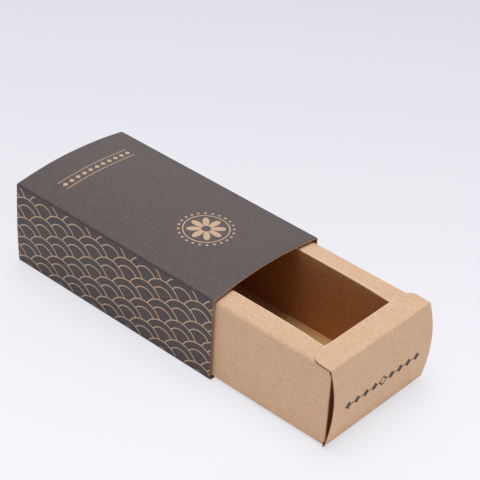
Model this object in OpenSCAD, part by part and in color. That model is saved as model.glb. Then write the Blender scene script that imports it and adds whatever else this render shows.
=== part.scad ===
// Sliding drawer gift box of folded paperboard, in millimetres.
// X is the width, Y the length, and +Z is up. The origin is the centre of the
// sleeve's underside, and the tray slides out towards -Y.
// The sleeve is one folded blank and the tray is another. Each flat of a blank
// is a piece of its own, and the pieces of one blank meet at its creases.

/* [Board] */
// Thickness of the paperboard
board_t = 0.45; // [0.35:0.05:0.55]
// Thickness of a glue line between two layers of board
glue_t = 0.1; // [0.06:0.02:0.14]

/* [Sleeve] */
// Width across the sleeve's lower creases
sleeve_w = 58; // [52:1:66]
// Length of the sleeve, mouth to mouth
sleeve_len = 106.4; // [96:0.2:120]
// Height of the sleeve's upper creases
sleeve_h = 36.9; // [33:0.1:42]
// Rise of the middle of the sleeve's top over its creases
sleeve_crown = 2.4; // [1.6:0.1:3]
// Outward bow of each side of the sleeve at mid-height
sleeve_bow = 0.4; // [0.2:0.1:0.6]
// Width of the flap that closes the sleeve's seam
seam_flap_w = 12; // [9:0.5:15]

/* [Tray] */
// Length of the tray between its end creases
tray_len = 106; // [96:0.2:106]
// How far the tray stands out of the sleeve's mouth
pull_out = 54.9; // [20:0.1:80]
// Width of the rim along each side of the tray
side_rim_w = 9.3; // [8:0.1:11]
// Depth of the strip that covers each end of the tray
end_strip_d = 11; // [10:0.1:13]
// Outward bow of each end panel
end_bow = 2.5; // [1.6:0.1:3]
// Height of the fullest part of the bow, as a share of the panel
end_bow_at = 0.57; // [0.45:0.01:0.65]
// How far each end of a strip reaches past the side wall
ear_reach = 0.6; // [0.4:0.1:0.8]
// Corner radius of the strip's ears
ear_r = 4; // [3:0.1:5]
// Taper of the strip's cut edge, from the opening to the ear
ear_taper = 11; // [6:1:14]
// Lean of the inner side walls, wider at the floor, in degrees
wall_lean = 2.5; // [1:0.5:4]
// Reach of the corner flaps behind the end panels
corner_flap_w = 12; // [9:0.5:14]
// Width of the foot flaps glued to the base
side_foot_w = 10; // [8:0.5:13]
// Width of the tuck flaps that lie on the floor
end_foot_w = 14; // [10:0.5:18]
// How far the tuck flaps stay clear of each side of the opening
tuck_inset = 3; // [1:0.5:5]

/* [Clearances] */
// Gap between the tray's ends and the sleeve's side, each side
side_gap = 0.27; // [0.24:0.01:0.4]
// Gap over the tray, to the sleeve's upper creases
top_gap = 0.35; // [0.3:0.05:0.5]
// Gap under the tray, over the seam flap
slide_gap = 0.2; // [0.2:0.05:0.3]

/* [Hidden] */

LEFT = -1;
RIGHT = 1;
FRONT = -1;
BACK = 1;

// Outside radii of the creases, tight to soft.
crease_r = 0.6;
soft_crease_r = 0.9;
rim_crease_r = 1.5;
inner_crease_r = 0.5;
// Clearance between neighbouring flaps of one blank, and around a tucked flap.
flap_gap = 0.1;
// Facet counts of small creases and of the long, shallow bows.
fine = 48;
bow_fine = 720;
// Angle by which a long bow laps its creases, so that they are one piece.
lap_a = 0.02;

// Printed board, plain board and glue.
print_colour = "#4e4847";
kraft_colour = "#c9a27d";
glue_colour = "#e4d3ae";

// Sleeve: levels and crease centres.
seam_z = board_t + glue_t;
crease_x = sleeve_w / 2 - crease_r;
crease_top_z = sleeve_h - crease_r;

// Tray: widths, set by the sleeve's inside.
end_w = sleeve_w - 2 * (board_t + side_gap);
body_w = end_w - 2 * ear_reach;
opening_w = body_w - 2 * side_rim_w;

// Tray: levels, from the seam flap up.
tray_z = seam_z + board_t + slide_gap;
base_top_z = tray_z + board_t;
floor_z = base_top_z + glue_t + board_t;
strip_top_z = sleeve_h - board_t - top_gap;
rim_top_z = strip_top_z - board_t;

// Tray: half length, and how far its middle is from the sleeve's middle.
tray_half = tray_len / 2;
tray_shift = sleeve_len / 2 + pull_out - tray_half;

// Tray: where the side walls end, just inside the corner flaps.
flap_face_y = tray_half - board_t - flap_gap;
wall_end_y = flap_face_y - crease_r;

// Tray: the leaning inner wall, between its upper and its lower crease.
lean_top = [opening_w / 2 + inner_crease_r, rim_top_z - inner_crease_r];
foot_in_r = crease_r - board_t;
lean_drop = lean_top[1] - (floor_z + foot_in_r);
lean_shift = (lean_drop * sin(wall_lean) - foot_in_r - inner_crease_r) / cos(wall_lean);
lean_len = lean_shift * sin(wall_lean) + lean_drop * cos(wall_lean);
foot_centre = [lean_top[0] + lean_shift, floor_z + foot_in_r];

// ---------- helpers ----------

function dir(a) = [cos(a), sin(a)];

// Angle at each end of an arc that rises by "rise" over half a chord.
function end_angle(half_chord, rise) = 2 * atan(rise / half_chord);

// Part of a ring of board, between two directions under 180 degrees apart.
module bent_board(r_out, from_a, to_a, facets = fine) {
    reach = 1.3 * r_out / cos((to_a - from_a) / 2);
    intersection() {
        difference() {
            circle(r = r_out, $fn = facets);
            circle(r = r_out - board_t, $fn = facets);
        }
        polygon([[0, 0], reach * dir(from_a), reach * dir(to_a)]);
    }
}

// Extrude an X-Z section along Y.
module along_y(y0, y1) {
    translate([0, y1, 0])
        rotate([90, 0, 0])
            linear_extrude(y1 - y0)
                children();
}

// Extrude a Y-Z section along X, centred.
module along_x(w) {
    translate([-w / 2, 0, 0])
        rotate([90, 0, 90])
            linear_extrude(w)
                children();
}

// Put a piece drawn for the right (or back) on the side asked for.
module at_side(side) {
    mirror([side == LEFT ? 1 : 0, 0, 0])
        children();
}

module at_end(end) {
    mirror([0, end == FRONT ? 1 : 0, 0])
        children();
}

// Place a piece of the tray, drawn about its own middle, at its pulled-out place.
module on_tray() {
    translate([0, -tray_shift, 0])
        children();
}

// ---------- sleeve ----------

// One side of the sleeve: a shallow arc between the creases at z0 and z1.
module sleeve_side_section(z0, z1) {
    half = (z1 - z0) / 2;
    a = end_angle(half, sleeve_bow);
    bow_r = half / sin(a);
    translate([crease_x - bow_r * cos(a), (z0 + z1) / 2])
        bent_board(bow_r + crease_r, -a, a, bow_fine);
}

module sleeve_bottom() {
    a = end_angle((crease_top_z - crease_r) / 2, sleeve_bow);
    color(print_colour)
        along_y(-sleeve_len / 2, sleeve_len / 2) {
            translate([-crease_x, 0])
                square([crease_x + sleeve_w / 2 - flap_gap, board_t]);
            translate([-crease_x, crease_r])
                bent_board(crease_r, 180 + a, 270);
        }
}

module sleeve_left_side() {
    color(print_colour)
        along_y(-sleeve_len / 2, sleeve_len / 2)
            mirror([1, 0])
                sleeve_side_section(crease_r, crease_top_z);
}

module sleeve_right_side() {
    color(print_colour)
        along_y(-sleeve_len / 2, sleeve_len / 2)
            sleeve_side_section(seam_z + crease_r, crease_top_z);
}

// The crowned top is one arc, tangent to a crease at each end.
module sleeve_top() {
    top_a = end_angle(crease_x, sleeve_crown);
    left_a = end_angle((crease_top_z - crease_r) / 2, sleeve_bow);
    right_a = end_angle((crease_top_z - seam_z - crease_r) / 2, sleeve_bow);
    crown_r = crease_x / sin(top_a);
    color(print_colour)
        along_y(-sleeve_len / 2, sleeve_len / 2) {
            translate([0, crease_top_z - crown_r * cos(top_a)])
                bent_board(crown_r + crease_r, 90 - top_a - lap_a, 90 + top_a + lap_a, bow_fine);
            translate([-crease_x, crease_top_z])
                bent_board(crease_r, 90 + top_a, 180 - left_a);
            translate([crease_x, crease_top_z])
                bent_board(crease_r, right_a, 90 - top_a);
        }
}

// The seam flap turns in from the right side and lies on the bottom. Its ends are cut back.
module sleeve_seam_flap() {
    a = end_angle((crease_top_z - seam_z - crease_r) / 2, sleeve_bow);
    cut = seam_flap_w / 4;
    color(kraft_colour) {
        along_y(-sleeve_len / 2, sleeve_len / 2)
            translate([crease_x, seam_z + crease_r])
                bent_board(crease_r, -90, -a);
        translate([0, 0, seam_z])
            linear_extrude(board_t)
                polygon([
                    [crease_x, -sleeve_len / 2],
                    [crease_x, sleeve_len / 2],
                    [crease_x - seam_flap_w, sleeve_len / 2 - cut],
                    [crease_x - seam_flap_w, -sleeve_len / 2 + cut]
                ]);
    }
}

module sleeve_seam_glue() {
    inset = seam_flap_w / 6;
    color(glue_colour)
        translate([crease_x - seam_flap_w + inset, -sleeve_len / 2 + 2 * inset, board_t])
            cube([seam_flap_w - 2 * inset, sleeve_len - 4 * inset, glue_t]);
}

// ---------- tray: base and side walls ----------

module tray_base() {
    flat_x = body_w / 2 - crease_r;
    flat_y = tray_half - soft_crease_r;
    color(kraft_colour)
        on_tray()
            translate([-flat_x, -flat_y, tray_z])
                cube([2 * flat_x, 2 * flat_y, board_t]);
}

// Outer wall: base crease, upright and the soft crease of the rim.
module outer_wall(side) {
    wall_x = body_w / 2;
    color(kraft_colour)
        on_tray()
            at_side(side)
                along_y(-wall_end_y, wall_end_y) {
                    translate([wall_x - crease_r, tray_z + crease_r])
                        bent_board(crease_r, -90, 0);
                    translate([wall_x - board_t, tray_z + crease_r])
                        square([board_t, rim_top_z - rim_crease_r - tray_z - crease_r]);
                    translate([wall_x - rim_crease_r, rim_top_z - rim_crease_r])
                        bent_board(rim_crease_r, 0, 90);
                }
}

// Rim: the flat top of a side, and the crease at the opening.
module side_rim(side) {
    flat_end = body_w / 2 - rim_crease_r;
    color(kraft_colour)
        on_tray()
            at_side(side)
                along_y(-wall_end_y, wall_end_y) {
                    translate([lean_top[0], rim_top_z - board_t])
                        square([flat_end - lean_top[0], board_t]);
                    translate(lean_top)
                        bent_board(inner_crease_r, 90, 180 + wall_lean);
                }
}

// Inner wall: hangs from the rim and leans out to its foot.
module side_inner_wall(side) {
    color(kraft_colour)
        on_tray()
            at_side(side)
                along_y(-wall_end_y, wall_end_y)
                    translate(lean_top)
                        rotate(wall_lean)
                            translate([-inner_crease_r, -lean_len])
                                square([board_t, lean_len]);
}

// Foot flap: turns in from the inner wall and is glued to the base. Its ends are cut back.
module side_foot_flap(side) {
    flat_y = tray_half - end_strip_d;
    cut = side_foot_w / 3;
    color(kraft_colour)
        on_tray()
            at_side(side) {
                along_y(-flat_y, flat_y)
                    translate(foot_centre)
                        bent_board(crease_r, 270, 360 + wall_lean);
                translate([0, 0, floor_z - board_t])
                    linear_extrude(board_t)
                        polygon([
                            [foot_centre[0], -flat_y],
                            [foot_centre[0], flat_y],
                            [foot_centre[0] - side_foot_w, flat_y - cut],
                            [foot_centre[0] - side_foot_w, -flat_y + cut]
                        ]);
            }
}

module side_foot_glue(side) {
    inset = side_foot_w / 6;
    half_y = tray_half - end_strip_d - side_foot_w / 2;
    color(glue_colour)
        on_tray()
            at_side(side)
                translate([foot_centre[0] - side_foot_w + inset, -half_y, base_top_z])
                    cube([side_foot_w - 2 * inset, 2 * half_y, glue_t]);
}

// ---------- tray: ends ----------

// Corner flap: turns in from the end of an outer wall, behind the end panel.
module corner_flap(side, end) {
    wall_x = body_w / 2;
    low_z = tray_z + 2 * soft_crease_r;
    high_z = rim_top_z - board_t - 2 * flap_gap;
    cut = corner_flap_w / 6;
    flat_x = wall_x - crease_r;
    color(kraft_colour)
        on_tray()
            at_end(end)
                at_side(side) {
                    translate([wall_x - crease_r, wall_end_y, low_z])
                        linear_extrude(high_z - rim_crease_r - low_z)
                            bent_board(crease_r, 0, 90);
                    along_y(flap_face_y - board_t, flap_face_y)
                        polygon([
                            [flat_x, low_z],
                            [flat_x, high_z - rim_crease_r],
                            [flat_x - cut, high_z],
                            [flat_x - corner_flap_w + cut, high_z],
                            [flat_x - corner_flap_w, high_z - 2 * cut],
                            [flat_x - corner_flap_w, low_z + 2 * cut],
                            [flat_x - corner_flap_w + cut, low_z]
                        ]);
                }
}

// End panel: the crease at the base, then two arcs that meet at the fullest
// part of the bow, then the crease of the strip. All of them are tangent.
module end_panel_section() {
    low = [tray_half - soft_crease_r, tray_z + soft_crease_r];
    high = [tray_half - soft_crease_r, strip_top_z - soft_crease_r];
    full_z = low[1] + end_bow_at * (high[1] - low[1]);
    low_a = end_angle(full_z - low[1], end_bow);
    high_a = end_angle(high[1] - full_z, end_bow);
    low_r = (full_z - low[1]) / sin(low_a);
    high_r = (high[1] - full_z) / sin(high_a);
    translate(low)
        bent_board(soft_crease_r, -90, -low_a);
    translate([low[0] + end_bow - low_r, full_z])
        bent_board(low_r + soft_crease_r, -low_a - lap_a, lap_a, bow_fine);
    translate([high[0] + end_bow - high_r, full_z])
        bent_board(high_r + soft_crease_r, -lap_a, high_a + lap_a, bow_fine);
    translate(high)
        bent_board(soft_crease_r, high_a, 90);
}

module end_panel(end) {
    color(kraft_colour)
        on_tray()
            at_end(end)
                along_x(end_w)
                    end_panel_section();
}

// Half of the strip's outline: a straight side, a round ear, and a cut edge
// that runs back to the corner of the opening. The second axis is the depth.
module half_strip() {
    side_x = end_w / 2;
    corner_x = opening_w / 2;
    run = side_x - ear_r - corner_x;
    ear = [side_x - ear_r, end_strip_d - tan(ear_taper) * run - ear_r / cos(ear_taper)];
    tangent = ear + ear_r * [sin(ear_taper), cos(ear_taper)];
    polygon([
        [0, soft_crease_r],
        [side_x, soft_crease_r],
        [side_x, ear[1]],
        ear,
        tangent,
        [corner_x, end_strip_d],
        [corner_x - flap_gap, end_strip_d],
        [corner_x - flap_gap, end_strip_d - inner_crease_r],
        [0, end_strip_d - inner_crease_r]
    ]);
    translate(ear)
        circle(r = ear_r, $fn = fine);
}

module top_strip(end) {
    crease_y = tray_half - end_strip_d + inner_crease_r;
    color(kraft_colour)
        on_tray()
            at_end(end) {
                translate([0, tray_half, strip_top_z - board_t])
                    mirror([0, 1, 0])
                        linear_extrude(board_t) {
                            half_strip();
                            mirror([1, 0])
                                half_strip();
                        }
                along_x(opening_w - 2 * flap_gap)
                    translate([crease_y, strip_top_z - inner_crease_r])
                        bent_board(inner_crease_r, 90, 180);
            }
}

// Inner wall of an end: hangs from the strip, down to its foot crease.
module end_inner_wall(end) {
    wall_y = tray_half - end_strip_d;
    foot_z = floor_z + crease_r;
    color(kraft_colour)
        on_tray()
            at_end(end)
                along_x(opening_w - 2 * flap_gap)
                    translate([wall_y, foot_z])
                        square([board_t, strip_top_z - inner_crease_r - foot_z]);
}

// Tuck flap: turns in from an end's inner wall and lies on the floor. Its sides are cut back.
module tuck_flap(end) {
    wall_y = tray_half - end_strip_d;
    half_x = opening_w / 2 - tuck_inset;
    cut = end_foot_w / 3;
    crease_y = wall_y + board_t - crease_r;
    color(kraft_colour)
        on_tray()
            at_end(end) {
                along_x(2 * half_x)
                    translate([crease_y, floor_z + crease_r])
                        bent_board(crease_r, -90, 0);
                translate([0, 0, floor_z])
                    linear_extrude(board_t)
                        polygon([
                            [-half_x, crease_y],
                            [half_x, crease_y],
                            [half_x - cut, crease_y - end_foot_w],
                            [-half_x + cut, crease_y - end_foot_w]
                        ]);
            }
}

// ---------- nodes ----------

sleeve_bottom();
sleeve_left_side();
sleeve_top();
sleeve_right_side();
sleeve_seam_flap();
sleeve_seam_glue();
tray_base();
outer_wall(LEFT);  // tray_left_outer_wall
outer_wall(RIGHT);  // tray_right_outer_wall
side_rim(LEFT);  // tray_left_rim
side_rim(RIGHT);  // tray_right_rim
side_inner_wall(LEFT);  // tray_left_inner_wall
side_inner_wall(RIGHT);  // tray_right_inner_wall
side_foot_flap(LEFT);  // tray_left_foot_flap
side_foot_flap(RIGHT);  // tray_right_foot_flap
side_foot_glue(LEFT);  // tray_left_foot_glue
side_foot_glue(RIGHT);  // tray_right_foot_glue
corner_flap(LEFT, FRONT);  // front_left_corner_flap
corner_flap(RIGHT, FRONT);  // front_right_corner_flap
corner_flap(LEFT, BACK);  // back_left_corner_flap
corner_flap(RIGHT, BACK);  // back_right_corner_flap
end_panel(FRONT);  // front_end_panel
end_panel(BACK);  // back_end_panel
top_strip(FRONT);  // front_top_strip
top_strip(BACK);  // back_top_strip
end_inner_wall(FRONT);  // front_inner_wall
end_inner_wall(BACK);  // back_inner_wall
tuck_flap(FRONT);  // front_tuck_flap
tuck_flap(BACK);  // back_tuck_flap
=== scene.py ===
"""Looks of a sliding drawer gift box of folded paperboard, on a pale studio floor.

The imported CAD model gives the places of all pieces. Each panel of the box and each
flap that is open to view is built here again as a sheet of board with soft creases
and small signs of handling, and it stands for the CAD node of that name. The corner
flaps and the glue lines keep their CAD shapes and get a finish.
"""

import logging
import math
from collections.abc import Callable
from dataclasses import dataclass, replace
from enum import Enum
from functools import partialmethod

import bmesh
import bpy
from mathutils import Matrix, Vector, noise

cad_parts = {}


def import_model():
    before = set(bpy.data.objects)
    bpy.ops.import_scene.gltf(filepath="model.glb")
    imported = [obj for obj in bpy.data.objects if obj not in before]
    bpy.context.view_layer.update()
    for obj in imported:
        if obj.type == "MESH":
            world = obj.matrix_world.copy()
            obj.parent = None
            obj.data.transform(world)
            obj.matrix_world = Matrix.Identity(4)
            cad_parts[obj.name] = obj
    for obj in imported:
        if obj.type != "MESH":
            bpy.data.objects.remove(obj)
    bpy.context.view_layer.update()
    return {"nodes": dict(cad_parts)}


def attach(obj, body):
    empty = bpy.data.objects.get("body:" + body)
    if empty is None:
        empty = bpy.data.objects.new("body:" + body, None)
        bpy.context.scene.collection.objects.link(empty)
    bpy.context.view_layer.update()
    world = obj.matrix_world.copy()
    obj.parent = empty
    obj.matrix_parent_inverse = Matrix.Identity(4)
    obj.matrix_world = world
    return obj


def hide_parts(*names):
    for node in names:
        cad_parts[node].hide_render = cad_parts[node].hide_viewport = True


LOG = logging.getLogger("gift_box")
MM = 0.001
UP = Vector((0, 0, 1))
LEVEL = 0.01 * MM  # Slack in asking whether a point lies on a flat.
Colour = tuple[float, float, float]


class Side(Enum):
    """The two long sides of the box."""

    LEFT = -1
    RIGHT = 1


class End(Enum):
    """The two ends of the tray."""

    FRONT = -1
    BACK = 1


class Face(Enum):
    """The three kinds of surface on a sheet of board, in the order of its slots."""

    OUTER = 0
    INNER = 1
    CUT = 2


def smooth(value: float, low: float, high: float) -> float:
    """Ramp smoothly from 0 at low to 1 at high.

    Args:
        value: The number to place on the ramp.
        low: Where the ramp is 0.
        high: Where the ramp is 1. It may lie below low.

    Returns:
        A number from 0 to 1.
    """
    t = min(1.0, max(0.0, (value - low) / (high - low)))
    return t * t * (3 - 2 * t)


def swell(value: float, low: float, high: float) -> float:
    """Swell from 0 at low and at high to 1 midway between them."""
    return max(0.0, 1 - (2 * (value - low) / (high - low) - 1) ** 2)


def bow_angle(half_chord: float, rise: float) -> float:
    """Slope in degrees at the ends of a shallow arc that rises so far over its chord."""
    return math.degrees(2 * math.atan(rise / half_chord))


def arc_radius(half_chord: float, slope: float) -> float:
    """Radius of a shallow arc with that slope in degrees at its ends."""
    return half_chord / math.sin(math.radians(slope))


def direction(azimuth: float, elevation: float) -> Vector:
    """Direction from the box to a point round and above it.

    Args:
        azimuth: Turn from the tray's front towards the right, in degrees.
        elevation: Rise over the floor, in degrees.

    Returns:
        The direction, of length 1.
    """
    turn, rise = math.radians(azimuth), math.radians(elevation)
    flat = math.cos(rise)
    return Vector((math.sin(turn) * flat, -math.cos(turn) * flat, math.sin(rise)))


def new_object(name: str, data: bpy.types.ID) -> bpy.types.Object:
    """Put a new object in the scene.

    Args:
        name: The object's name.
        data: Its mesh, light or camera.

    Returns:
        The object.
    """
    obj = bpy.data.objects.new(name, data)
    bpy.context.scene.collection.objects.link(obj)
    return obj


def rank(element: bmesh.types.BMEdge | bmesh.types.BMFace, count: int) -> int:
    """Number an edge or a face by its points.

    Args:
        element: The edge or face. Its points are numbered already.
        count: How many points the mesh has.

    Returns:
        The number. No other edge, or no other face, has it.
    """
    number = 0
    # Three points are enough to tell two faces apart.
    for index in sorted(v.index for v in element.verts)[:3]:
        number = number * count + index
    return number


def new_mesh(name: str, shape: bmesh.types.BMesh) -> bpy.types.Mesh:
    """Turn a finished bmesh into a mesh and free it.

    The operators leave points, edges and faces in an order that changes from run to
    run, so they are first put in an order that their places give.

    Args:
        name: The mesh's name.
        shape: The bmesh.

    Returns:
        The mesh.
    """
    # No two points are level along this slope.
    slope = Vector((1, math.sqrt(2), math.sqrt(3)))
    shape.verts.sort(key=lambda v: v.co.dot(slope))
    shape.verts.index_update()
    for elements in (shape.edges, shape.faces):
        elements.sort(key=lambda e: rank(e, len(shape.verts)))
    mesh = bpy.data.meshes.new(name)
    shape.to_mesh(mesh)
    shape.free()
    return mesh


# ---- sizes ----


@dataclass(frozen=True)
class Board:
    """The paperboard that both blanks are cut from, in metres."""

    thickness: float = 0.45 * MM
    glue: float = 0.1 * MM
    crease: float = 0.6 * MM
    soft_crease: float = 0.9 * MM
    rim_crease: float = 1.5 * MM
    inner_crease: float = 0.5 * MM
    softened_cut: float = 0.05 * MM

    @property
    def foot_crease(self) -> float:
        """Radius on the hollow side of a tight crease."""
        return self.crease - self.thickness


@dataclass(frozen=True)
class SleeveSize:
    """Sizes of the sleeve in metres, and the signs that hands have left in it."""

    width: float = 58 * MM
    length: float = 106.4 * MM
    height: float = 36.9 * MM
    crown: float = 2.4 * MM
    bow: float = 0.4 * MM
    seam_flap: float = 12 * MM
    seam_taper: float = 1 / 4
    edge_gap: float = 0.1 * MM

    waves_a_metre: float = 34
    wave_start: tuple = (3.1, 0.7, 5.2)
    top_wave: float = 0.22 * MM
    side_wave: float = 0.16 * MM
    splay: tuple = (-0.22 * MM, -0.05 * MM, 0.10 * MM)
    splay_reach: float = 5 * MM
    mouth_edge: float = 0.3 * MM


@dataclass(frozen=True)
class TraySize:
    """Sizes of the tray in metres and degrees, and the signs of folding and hands."""

    length: float = 106 * MM
    pull_out: float = 54.9 * MM
    rim: float = 9.3 * MM
    strip: float = 11 * MM
    end_bow: float = 2.5 * MM
    end_bow_at: float = 0.57
    ear_reach: float = 0.6 * MM
    ear_radius: float = 4 * MM
    ear_taper: float = 11.0
    ear_cuts: int = 12
    lean: float = 2.5
    side_gap: float = 0.27 * MM
    top_gap: float = 0.35 * MM
    slide_gap: float = 0.2 * MM
    flap_gap: float = 0.1 * MM
    side_foot: float = 10 * MM
    end_foot: float = 14 * MM
    foot_taper: float = 1 / 3
    tuck_inset: float = 3 * MM

    rim_rise: float = 1.15 * MM
    rim_rise_power: int = 4
    roll: float = 1.4 * MM
    roll_drop: float = 0.28 * MM
    roll_rows: int = 5
    bead_from: float = 0.75 * MM
    bead_half: float = 0.2 * MM
    bead_rise: float = 0.13 * MM
    bead_rows: int = 12
    ear_lift: float = 0.45 * MM
    ear_lift_from: float = 20 * MM
    ear_lift_depths: tuple = (2 * MM, 9.5 * MM)
    waves_a_metre: float = 38
    wave_start: tuple = (7.3, 1.9, 2.4)
    wave: float = 0.22 * MM
    calm_ends: float = 8 * MM
    end_waves_a_metre: tuple = (55, 40)
    end_wave: float = 0.132 * MM


# ---- sheets ----


class Sheet:
    """A sheet of board that grows flat by flat and is folded at its creases.

    The sheet is the board's outer surface. It starts as one straight line and
    grows from it towards its heading. Outward is heading x along.
    """

    panel_spacing = 2 * MM
    strip_spacing = 0.9 * MM
    base_spacing = 3 * MM
    least_fold_rows = 3
    degrees_a_row = 9
    weld = 1e-7
    same_place = 1e-6

    def __init__(self, corner: Vector, along: Vector, heading: Vector,
                 spacing: float = panel_spacing) -> None:
        """Lay down the first line.

        Args:
            corner: First end of the line.
            along: From the first end of the line to the other.
            heading: Direction in which the sheet grows.
            spacing: Rough distance between the sheet's points.
        """
        self.mesh = bmesh.new()
        self.corner = corner.copy()
        self.along = along.normalized()
        self.span = along.length
        self.heading = heading.normalized()
        self.spacing = spacing
        ends = [self.mesh.verts.new(corner), self.mesh.verts.new(corner + along)]
        line = self.mesh.edges.new(ends)
        cuts = max(1, round(self.span / spacing)) - 1
        if cuts:
            bmesh.ops.subdivide_edges(self.mesh, edges=[line], cuts=cuts)
        self.front = list(self.mesh.edges)
        self.first_outward = self.outward

    @property
    def outward(self) -> Vector:
        """Direction that the outer surface faces at the growing line."""
        return self.heading.cross(self.along)

    def next_sheet(self, inset: float = 0.0) -> "Sheet":
        """Start a new sheet at this one's growing line.

        Args:
            inset: How much shorter the new line is at each end.

        Returns:
            The new sheet.
        """
        corner = self.corner + self.along * inset
        along = self.along * (self.span - 2 * inset)
        return Sheet(corner, along, self.heading, self.spacing)

    def flat(self, length: float, taper: float = 0.0, rows: int = 0) -> "Sheet":
        """Grow a flat.

        Args:
            length: How far the flat reaches.
            taper: Share of that reach by which the line is cut back at each end.
            rows: Number of rows, or 0 for rows of about the sheet's spacing.

        Returns:
            The sheet itself.
        """
        rows = rows or max(1, round(length / self.spacing))
        for _ in range(rows):
            grown = bmesh.ops.extrude_edge_only(self.mesh, edges=self.front)["geom"]
            points = [g for g in grown if isinstance(g, bmesh.types.BMVert)]
            bmesh.ops.translate(self.mesh, vec=self.heading * (length / rows), verts=points)
            self.front = [g for g in grown if isinstance(g, bmesh.types.BMEdge)]
            self.corner += self.heading * (length / rows)
            if taper:
                cut = taper * length / rows
                keep = (self.span - 2 * cut) / self.span
                middle = self.corner + self.along * (self.span / 2)
                scale = Vector([1 - abs(a) + abs(a) * keep for a in self.along])
                space = Matrix.Translation(-middle)
                bmesh.ops.scale(self.mesh, vec=scale, space=space, verts=points)
                self.corner += self.along * cut
                self.span -= 2 * cut
        return self

    def fold(self, degrees: float, radius: float) -> "Sheet":
        """Grow a round crease or bow.

        Args:
            degrees: Turn away from outward, or towards it where negative.
            radius: Radius of the outer surface.

        Returns:
            The sheet itself.
        """
        angle = math.radians(degrees)
        centre = self.corner - self.outward * math.copysign(radius, degrees)
        rows = max(
            self.least_fold_rows,
            round(abs(degrees) / self.degrees_a_row),
            round(abs(angle) * radius / self.spacing),
        )
        points = list({v for e in self.front for v in e.verts})
        spun = bmesh.ops.spin(
            self.mesh,
            geom=self.front + points,
            cent=centre,
            axis=self.along,
            angle=angle,
            steps=rows,
        )
        turn = Matrix.Rotation(angle, 3, self.along)
        self.corner = centre + turn @ (self.corner - centre)
        self.heading = turn @ self.heading
        self.front = [g for g in spun["geom_last"] if isinstance(g, bmesh.types.BMEdge)]
        return self

    def clip(self, point: Vector, normal: Vector, keep: bool = False) -> None:
        """Cut the sheet along a plane.

        Args:
            point: A point on the plane.
            normal: The side of the plane that is cut off.
            keep: Whether the cut-off side stays, so that only a line is added.
        """
        bmesh.ops.bisect_plane(
            self.mesh,
            geom=self.mesh.verts[:] + self.mesh.edges[:] + self.mesh.faces[:],
            dist=self.weld,
            plane_co=point,
            plane_no=normal,
            clear_outer=not keep,
        )

    def orient(self) -> None:
        """Turn all faces outward."""
        self.mesh.faces.ensure_lookup_table()
        bmesh.ops.recalc_face_normals(self.mesh, faces=self.mesh.faces[:])
        self.mesh.normal_update()
        if self.mesh.faces[0].normal.dot(self.first_outward) < 0:
            bmesh.ops.reverse_faces(self.mesh, faces=self.mesh.faces[:])


# ---- node graphs ----


@dataclass(frozen=True)
class Spots:
    """Uneven spots in a surface, made from noise.

    The scale is in spots a metre, the detail counts the finer layers, and the
    roughness is their weight. Where the noise is at the first level the spots are 0,
    and at the second level they are 1. Stretch multiplies the scale along each axis.
    """

    scale: float
    detail: float
    levels: tuple = (0.35, 0.65)
    roughness: float = 0.5
    stretch: tuple | None = None


@dataclass(frozen=True)
class Gloss:
    """How rough and how shiny a surface is, and how deep and how strong its tooth.

    Where the tooth is high, the surface may be a little rougher.
    """

    roughness: float
    specular: float
    tooth: float = 0.0
    strength: float = 1.0
    rougher_heights: float = 0.0


class Value:
    """A number or colour that a material works out at each point of its surface.

    Values combine with the usual signs, so that a pattern is written as a formula.
    Each sign adds a Math node, and | takes the greater value, which joins two masks.
    """

    ink_edge = 0.05 * MM

    def __init__(self, graph: "Graph", socket: bpy.types.NodeSocket) -> None:
        """Hold the output of one of the graph's nodes."""
        self.graph = graph
        self.socket = socket

    def math(self, operation: str, *others: "Value | float") -> "Value":
        """Add a Math node that starts from this value."""
        return self.graph.math(operation, self, *others)

    __add__ = partialmethod(math, "ADD")
    __sub__ = partialmethod(math, "SUBTRACT")
    __mul__ = partialmethod(math, "MULTIPLY")
    __truediv__ = partialmethod(math, "DIVIDE")
    __or__ = partialmethod(math, "MAXIMUM")
    __abs__ = partialmethod(math, "ABSOLUTE")

    def __rsub__(self, other: float) -> "Value":
        """Take this value away from a number."""
        return self.graph.math("SUBTRACT", other, self)

    def repeat(self, pitch: float) -> "Value":
        """Repeat the numbers within half a pitch of 0 over and over."""
        return self.math("WRAP", pitch / 2, -pitch / 2)

    def ramp(self, low: float, high: float) -> "Value":
        """Rise evenly from 0 at low to 1 at high."""
        return self.graph.math("DIVIDE", self - low, high - low, clamp=True)

    def step(self, low: float, high: float) -> "Value":
        """Rise smoothly from 0 at low to 1 at high.

        Args:
            low: Where the step is 0.
            high: Where the step is 1. It may lie below low.

        Returns:
            The step.
        """
        ends = min(low, high), max(low, high)
        node = self.graph.node("MapRange", self, *ends, float(low > high), float(low < high))
        node.interpolation_type = "SMOOTHSTEP"
        return Value(self.graph, node.outputs["Result"])

    def within(self, limit: float, softness: float) -> "Value":
        """1 below a limit and 0 above it, softened by a share of the limit."""
        return self.step(limit * (1 + softness), limit * (1 - softness))

    def inked(self, limit: float) -> "Value":
        """1 below a limit and 0 above it, with the soft edge of dark ink between."""
        return self.step(limit + self.ink_edge, limit - self.ink_edge)


def distance(across: Value, rise: Value) -> Value:
    """Length of a step across and up."""
    return (across * across + rise * rise).math("SQRT")


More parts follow.
